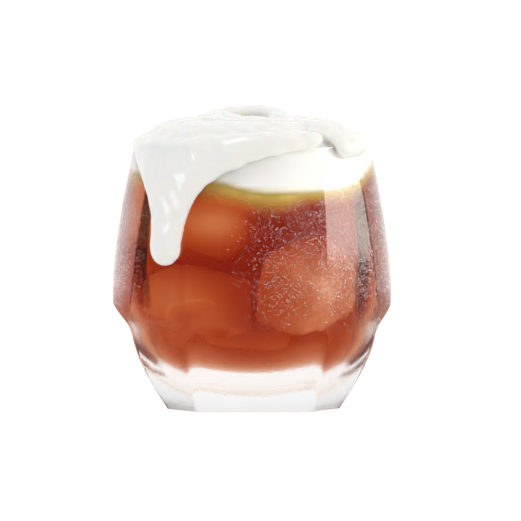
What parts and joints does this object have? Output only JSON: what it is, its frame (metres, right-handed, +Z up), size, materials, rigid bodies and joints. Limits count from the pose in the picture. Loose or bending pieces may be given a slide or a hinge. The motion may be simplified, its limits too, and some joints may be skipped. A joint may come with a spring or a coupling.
{
  "type": "iced tea with cream foam in a glass tumbler",
  "caption": "Low pressed-glass tumbler of reddish iced tea under a thick cream foam that folds over the rim and runs down in a long drip.",
  "frame": {"origin": "the centre of the part's box on the surface it stands on, under the centre of the glass", "axes": "+Z up; -Y is the side with the long drip, which hangs left of the middle; +X is to the right as seen from there"},
  "size_m": [0.092, 0.092, 0.0983],
  "materials": {
    "glass": "clear, polished, with fine condensation",
    "tea": "clear liquid",
    "cream": "smooth wet cream"
  },
  "bodies": {
    "root": {"glass": "glass", "tea": "tea", "cream": "cream"}
  },
  "joints": []
}
